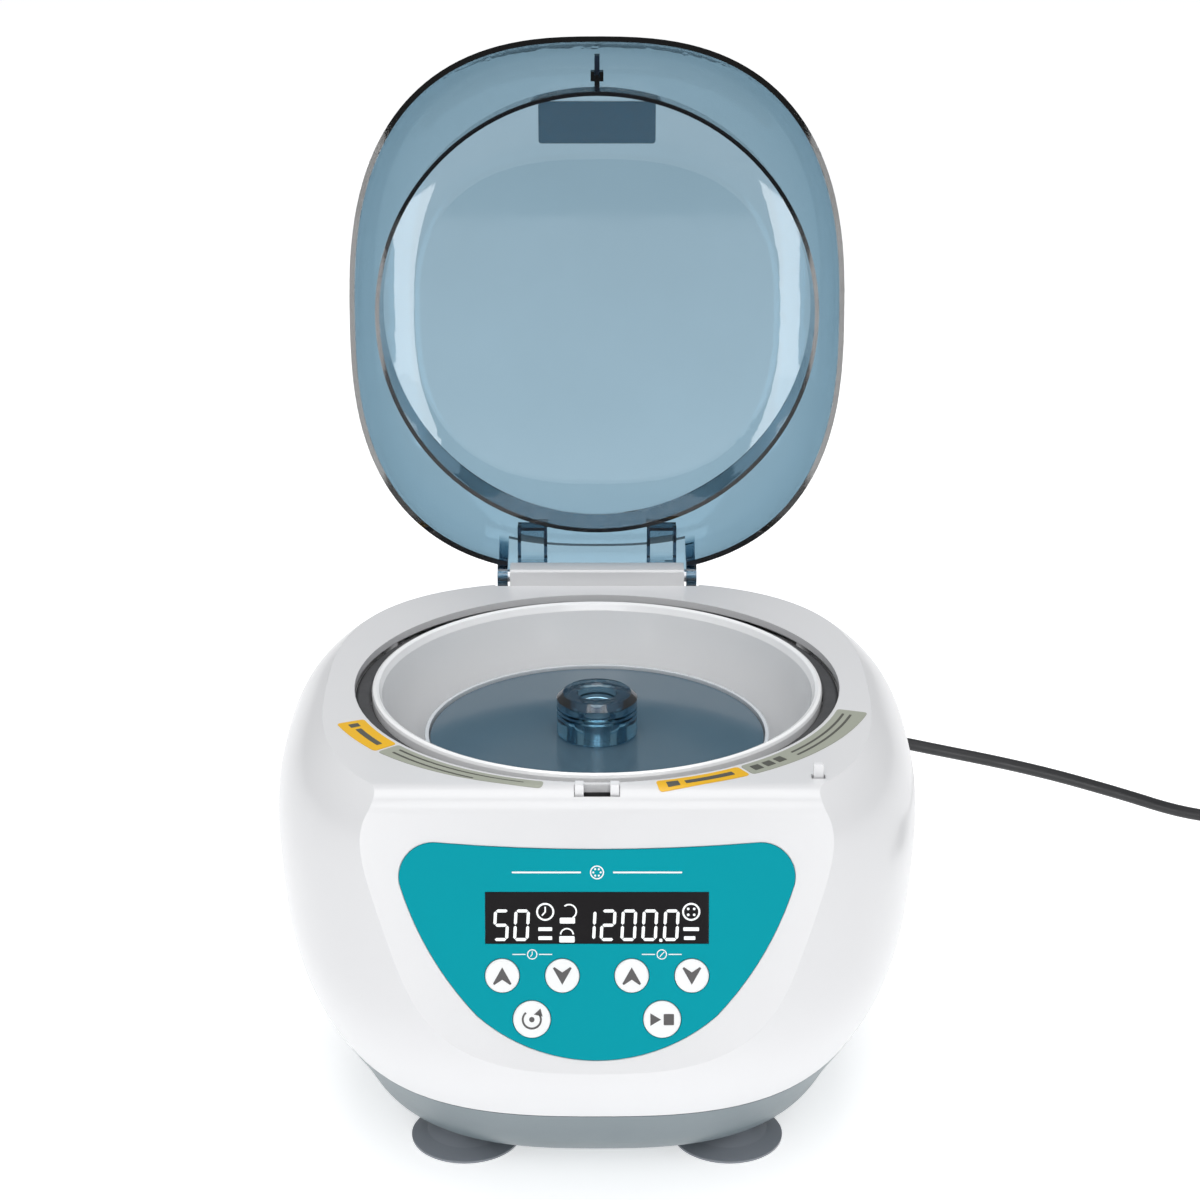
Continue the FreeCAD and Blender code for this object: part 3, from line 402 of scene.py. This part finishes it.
def digit(character, cx, cy, width=6.3, height=13.0, thick=1.25, lean=0.05):
    """The lit segments of one seven-segment figure."""
    w, h, gap = width / 2 - thick / 2, height / 2 - thick / 2, 0.18
    ends = {"a": ((-w, h), (w, h)), "g": ((-w, 0), (w, 0)), "d": ((-w, -h), (w, -h)),
            "f": ((-w, 0), (-w, h)), "b": ((w, 0), (w, h)), "e": ((-w, -h), (-w, 0)), "c": ((w, -h), (w, 0))}
    shapes = []
    for key in SEGMENTS[character]:
        (x0, y0), (x1, y1) = ends[key]
        along = Vector((x1 - x0, y1 - y0)).normalized()
        side = Vector((-along.y, along.x)) * (thick / 2)
        first, last = Vector((x0, y0)) + along * gap, Vector((x1, y1)) - along * gap
        tip = along * (thick / 2)
        corners = [first, first + tip + side, last - tip + side, last, last - tip - side, first + tip - side]
        shapes.append([(cx + p.x + lean * p.y, cy + p.y) for p in corners])
    return shapes


def display():
    """Lit figures and small plain signs in the display window."""
    cy = FIGURES_Y
    shapes = []
    for character, x in (("5", -38.9), ("0", -30.6), ("1", -3.6), ("2", 4.5), ("0", 12.9), ("0", 21.4),
                         ("0", 30.1)):
        shapes += digit(character, x, cy - 0.6)
    shapes.append(bar(25.9, cy - 6.8, 1.3, 1.3, 0.4))
    shapes.append(ring(-21.0, cy + 4.9, 3.3, 0.75))
    shapes.append(line([(-22.3, cy + 3.4), (-21.0, cy + 4.9), (-21.0, cy + 7.0)], 0.6))
    shapes += [bar(-21.0, cy - 2.2, 5.6, 1.5), bar(-21.0, cy - 5.9, 5.6, 1.5)]
    shapes.append(bar(-12.0, cy + 1.3, 6.2, 2.4, 0.4))
    shapes.append(line(arc(-11.3, cy + 5.0, 2.9, -60, 130, 16), 0.6))
    shapes.append(bar(-12.2, cy - 6.4, 6.2, 2.6, 0.4))
    shapes.append(line(arc(-12.2, cy - 4.6, 2.6, 5, 175, 14), 0.6))
    shapes.append(ring(38.2, cy + 4.9, 3.3, 0.75))
    shapes += [disc(38.2 + 1.7 * math.cos(a), cy + 4.9 + 1.7 * math.sin(a), 0.55, 10)
               for a in (math.radians(45 + 90 * i) for i in range(4))]
    shapes += [bar(38.2, cy - 2.2, 6.4, 1.5), bar(37.6, cy - 5.9, 4.6, 1.5)]
    print_on("display_segments", shapes, WINDOW_TOP + 0.02, WINDOW_TOP + 0.10, PANEL, SEGMENT,
             "housing")


def overlay_marks():
    """Plain white marks on the overlay: a rotor sign with two rules, and a sign over each pair of keys."""
    shapes = [ring(0, TITLE_Y, 2.6, 0.5)]
    shapes += [disc(1.5 * math.cos(a), TITLE_Y + 1.5 * math.sin(a), 0.42, 10)
               for a in (math.radians(60 * i) for i in range(6))]
    shapes += [bar(s * 20.5, TITLE_Y, 28.0, 0.7, 0.3) for s in (-1, 1)]
    y = CAPTION_Y
    for x in (-26.3, 26.3):
        shapes.append(ring(x, y, 1.9, 0.4))
    shapes.append(line([(-27.0, y - 0.9), (-26.3, y), (-26.3, y + 1.2)], 0.35))
    shapes.append(line([(25.5, y - 1.0), (26.3, y), (27.3, y + 1.0)], 0.35))
    shapes += [bar(x + s * 5.4, y, 5.4, 0.4, 0.18) for x in (-26.3, 26.3) for s in (-1, 1)]
    print_on("overlay_marks", shapes, OVERLAY_TOP + 0.01, OVERLAY_TOP + 0.07, PANEL, WHITE_PRINT,
             "housing")


def key_marks():
    """Arrows and plain signs, each on its own key."""
    chevron = [(0, 3.6), (3.8, -3.2), (3.2, -3.7), (0, -1.5), (-3.2, -3.7), (-3.8, -3.2)]
    for label, x, flip in (("time_up", -38.5, 1), ("time_down", -14.1, -1),
                           ("speed_up", 14.1, 1), ("speed_down", 38.5, -1)):
        outline = [(x + px * flip, ARROW_KEY_Y + py * flip) for px, py in chevron]
        print_on(f"arrow_{label}", [outline], KEY_TOP + 0.01, KEY_TOP + 0.09, PANEL, GREY_PRINT,
                 f"key_{label}")
    y = MODE_KEY_Y
    turn_back = [line(arc(-26.5, y, 3.7, 130, 400, 26), 0.8),
                 [(-22.1, y + 1.3), (-25.6, y + 2.1), (-23.0, y + 4.6)], disc(-26.5, y, 1.1)]
    print_on("mark_short_spin", turn_back, KEY_TOP + 0.01, KEY_TOP + 0.09, PANEL, GREY_PRINT,
             "key_short_spin")
    go_stop = [[(21.7, y - 2.6), (26.0, y), (21.7, y + 2.6)], bar(29.2, y, 4.2, 4.6, 0.3)]
    print_on("mark_start_stop", go_stop, KEY_TOP + 0.01, KEY_TOP + 0.09, PANEL, GREY_PRINT,
             "key_start_stop")


# ---------------------------------------------------------------- labels on the deck

housing_mesh = NODES["upper_housing"].data
deck = BVHTree.FromPolygons([v.co.copy() for v in housing_mesh.vertices],
                            [tuple(p.vertices) for p in housing_mesh.polygons])


def deck_point(angle, radius, lift):
    """Point of the deck at that angle and distance from the rotor axis, lifted off its surface."""
    start = Vector((radius * math.cos(angle), ROTOR_Y + radius * math.sin(angle), RIM_TOP + 0.05))
    spot, normal, _, _ = deck.ray_cast(start, Vector((0, 0, -1)))
    return spot + normal * lift


def border(grid):
    """The points all round the edge of a grid, in order."""
    return [c[0] for c in grid] + grid[-1][1:] + [c[-1] for c in grid[-2::-1]] + grid[0][-2:0:-1]


def deck_band(name, start, end, inner, outers, material, low=0.00004, high=0.00022, corner=0.0016):
    """A thin label on the curved deck, from start to end in degrees, with rounded corners.

    Its outer radius goes from the first of outers to the second, in metres.
    """
    middle = (inner + sum(outers) / 2) / 2
    columns = max(10, int(abs(end - start) * 1.3))
    rows = 5
    length = math.radians(end - start) * middle
    stops = [length * i / columns for i in range(columns + 1)]
    stops += [corner * t for t in (0.1, 0.3, 0.6)] + [length - corner * t for t in (0.1, 0.3, 0.6)]
    bm = bmesh.new()
    sheets = []
    for lift in (low, high):
        grid = []
        for s in sorted(stops):
            near = max(0.0, min(s, length - s))
            cut = corner - math.sqrt(corner ** 2 - (corner - near) ** 2) if near < corner else 0.0
            angle = math.radians(start) + s / middle
            outer = outers[0] + (outers[1] - outers[0]) * s / length
            width = outer - inner - 2 * cut
            grid.append([bm.verts.new(deck_point(angle, inner + cut + width * r / rows, lift))
                         for r in range(rows + 1)])
        sheets.append(grid)
        for a, b in zip(grid, grid[1:]):
            for r in range(rows):
                bm.faces.new((a[r], a[r + 1], b[r + 1], b[r]))
    lower, upper = (border(grid) for grid in sheets)
    for i in range(len(lower)):
        j = (i + 1) % len(lower)
        bm.faces.new((lower[i], lower[j], upper[j], upper[i]))
    return finished(name, bm, material, "housing")


def deck_labels():
    inner = 0.1092
    ink = (0.00024, 0.00030, 0.0003)
    deck_band("label_yellow_left", 203.5, 219.5, inner, (0.1215, 0.1205), LABEL_YELLOW)
    deck_band("label_lines_left", 220.2, 258.6, inner, (0.1200, 0.1140), LABEL_GREEN)
    deck_band("label_yellow_right", 282.6, 302.0, inner, (0.1165, 0.1185), LABEL_YELLOW)
    deck_band("label_lines_right", 302.7, 342.7, inner, (0.1185, 0.1225), LABEL_GREEN)
    marks = (("stripe_left", 208.0, 217.5, 0.1138, (0.1165, 0.1165)),
             ("stripe_right", 288.5, 299.5, 0.1120, (0.1146, 0.1151)),
             ("sign_left", 205.0, 206.8, 0.1130, (0.1174, 0.1174)),
             ("sign_right", 284.6, 287.2, 0.1112, (0.1150, 0.1150)),
             ("line_left_1", 222.5, 254.5, 0.1115, (0.1126, 0.1120)),
             ("line_left_2", 222.5, 244.0, 0.1150, (0.1161, 0.1158)),
             ("line_right_1", 316.0, 340.5, 0.1122, (0.1133, 0.1133)),
             ("line_right_2", 316.0, 340.5, 0.1155, (0.1166, 0.1166)),
             ("dot_right_1", 304.2, 306.4, 0.1118, (0.1162, 0.1162)),
             ("dot_right_2", 307.4, 309.6, 0.1118, (0.1162, 0.1162)),
             ("dot_right_3", 310.6, 312.8, 0.1118, (0.1162, 0.1162)))
    for name, start, end, low, highs in marks:
        deck_band(f"deck_{name}", start, end, low, highs, LABEL_INK, *ink)


# ---------------------------------------------------------------- rear label

def rear_label():
    """Blank rating plate on the rear panel's left."""
    low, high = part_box("rear_panel")
    face = Matrix.Translation((0, high.y, 0)) @ Matrix.Rotation(math.radians(90), 4, "X")
    spot = ((low.x + 0.0035) / MM, (low.z + high.z) / 2 / MM)
    plate = [bar(spot[0], spot[1] + 11.0, 5.0, 8.0, 0.6)]
    print_on("rating_plate", plate, -0.25, -0.02, face, SILVER_LABEL, "housing")


# ---------------------------------------------------------------- mains cord

CORD_DIAMETER = 0.0065
# From the inlet to the coil: side, behind the rotor axis, height, in millimetres.
ROUTE = (
    (38, 180, 85), (39, 203, 84.3), (51, 222, 81.5), (75, 231.5, 76.5), (108, 233, 69.5),
    (165, 230, 57.3), (234, 226, 44.3), (284, 222, 31), (319, 220.8, 19.5), (350, 219.5, 16.0),
)
COIL_CENTRE = (386, 181)
# Along the coil: turns so far, radius of the turn and height of its middle, in millimetres.
COIL_STOPS = (
    (0.0, 36.5, 16.0), (1.0, 35.0, 16.0), (1.3, 38.3, 9.7), (1.9, 38.3, 9.7), (2.2, 31.8, 9.7),
    (2.9, 31.8, 9.7), (3.2, 28.5, 3.4), (3.9, 28.5, 3.4), (4.2, 35.0, 3.4), (4.9, 35.0, 3.4),
    (5.2, 41.5, 3.4), (6.2, 41.5, 3.4),
)
TAIL = ((427, 158, 3.6), (423, 142, 3.8), (413, 127, 3.8))
POINTS_PER_TURN = 14


def coil_points():
    """Control points of the coil's turns, wound clockwise from its back to its right side."""
    outward = 1 / (0.75 + 0.25 * math.cos(2 * math.pi / POINTS_PER_TURN))
    points = []
    for i in range(int(POINTS_PER_TURN * COIL_STOPS[-1][0])):
        t = (i + 0.5) / POINTS_PER_TURN
        for (t0, r0, z0), (t1, r1, z1) in zip(COIL_STOPS, COIL_STOPS[1:]):
            if t0 <= t <= t1:
                share = (t - t0) / (t1 - t0)
                radius, height = r0 + (r1 - r0) * share, z0 + (z1 - z0) * share
        angle = math.pi / 2 - 2 * math.pi * t
        points.append((COIL_CENTRE[0] + radius * outward * math.cos(angle),
                       COIL_CENTRE[1] + radius * outward * math.sin(angle), height))
    return points


def mains_cord():
    points = [Vector((x * MM, y * MM + ROTOR_Y, z * MM)) for x, y, z in (*ROUTE, *coil_points(), *TAIL)]
    curve = bpy.data.curves.new("mains_cord", "CURVE")
    curve.dimensions = "3D"
    spline = curve.splines.new("NURBS")
    spline.points.add(len(points) - 1)
    for point, spot in zip(spline.points, points):
        point.co = (*spot, 1.0)
    spline.order_u = 3
    spline.use_endpoint_u = True
    spline.resolution_u = 8
    curve.bevel_depth = CORD_DIAMETER / 2
    curve.bevel_resolution = 5
    curve.use_fill_caps = True
    curve.materials.append(SLOTS["cord_black"])
    item = bpy.data.objects.new("mains_cord", curve)
    scene.collection.objects.link(item)
    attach(item, "housing")
    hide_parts("mains_lead", "mains_coil", "mains_tail")
    coil_tie()


def coil_tie():
    """Soft strap round the coil's turns at its left, so that the coil keeps its shape."""
    bm = bmesh.new()
    centre, middle, count, wide = COIL_CENTRE, 35.0, 36, 8.0
    rings = []
    for side, extra in ((-1, 0.0), (-1, 0.9), (1, 0.9), (1, 0.0)):
        loop = []
        for i in range(count):
            a = 2 * math.pi * i / count
            power = 0.62
            x = math.copysign(abs(math.cos(a)) ** power, math.cos(a)) * (10.6 + extra)
            z = math.copysign(abs(math.sin(a)) ** power, math.sin(a)) * (8.7 + extra)
            spot = (centre[0] - middle - x, centre[1] + side * wide / 2, 9.75 + z)
            loop.append(bm.verts.new((spot[0] * MM, spot[1] * MM + ROTOR_Y, max(spot[2], 0.1) * MM)))
        rings.append(loop)
    for a in range(4):
        for i in range(count):
            b, j = (a + 1) % 4, (i + 1) % count
            bm.faces.new((rings[a][i], rings[a][j], rings[b][j], rings[b][i]))
    return finished("coil_tie", bm, SLOTS["black_plastic"], "housing")


mains_cord()
display()
overlay_marks()
key_marks()
deck_labels()
rear_label()

# ---------------------------------------------------------------- floor and light

floor_mesh = bpy.data.meshes.new("floor")
half = 12.0
corners = [(-half, -half, 0), (half, -half, 0), (half, half, 0), (-half, half, 0)]
floor_mesh.from_pydata(corners, [], [(0, 1, 2, 3)])
floor = bpy.data.objects.new("floor", floor_mesh)
floor.location.z = -0.0002
scene.collection.objects.link(floor)
floor_look = Shader("studio_floor", (0.93, 0.93, 0.935), 0.9, Emission_Strength=0.53)
floor_look.bsdf.inputs["Emission Color"].default_value = (1.0, 1.0, 1.0, 1.0)
floor_mesh.materials.append(floor_look.material)

world = bpy.data.worlds.new("Studio")
world.use_nodes = True
background = world.node_tree.nodes["Background"]
background.inputs["Color"].default_value = (0.97, 0.985, 1.0, 1.0)
direction = world.node_tree.nodes.new("ShaderNodeTexCoord")
height = world.node_tree.nodes.new("ShaderNodeSeparateXYZ")
fade = world.node_tree.nodes.new("ShaderNodeMapRange")
for socket, number in (("From Min", 0.0), ("From Max", 1.0), ("To Min", 0.24), ("To Max", 0.62)):
    fade.inputs[socket].default_value = number
world.node_tree.links.new(direction.outputs["Generated"], height.inputs[0])
world.node_tree.links.new(height.outputs["Z"], fade.inputs["Value"])
world.node_tree.links.new(fade.outputs["Result"], background.inputs["Strength"])
scene.world = world


def soft_light(name, where, aim, size, power, matte=True):
    """A square soft light; one that isn't for matte surfaces shows in reflections only."""
    data = bpy.data.lights.new(name, "AREA")
    data.shape, data.size, data.energy = "SQUARE", size, power
    light = bpy.data.objects.new(name, data)
    light.location = where
    light.rotation_euler = (Vector(aim) - Vector(where)).to_track_quat("-Z", "Y").to_euler()
    light.visible_diffuse = matte
    scene.collection.objects.link(light)


soft_light("overhead", (0.0, -0.1, 1.9), (0, 0, 0.2), 1.3, 15)
soft_light("front", (0.0, -1.5, 1.35), (0, 0, 0.15), 1.0, 9)
for side in (-1, 1):
    soft_light(f"softbox_{side + 1}", (side * 0.46, -1.22, 0.30), (0, 0.1, 0.25), 0.52, 4.4, matte=False)
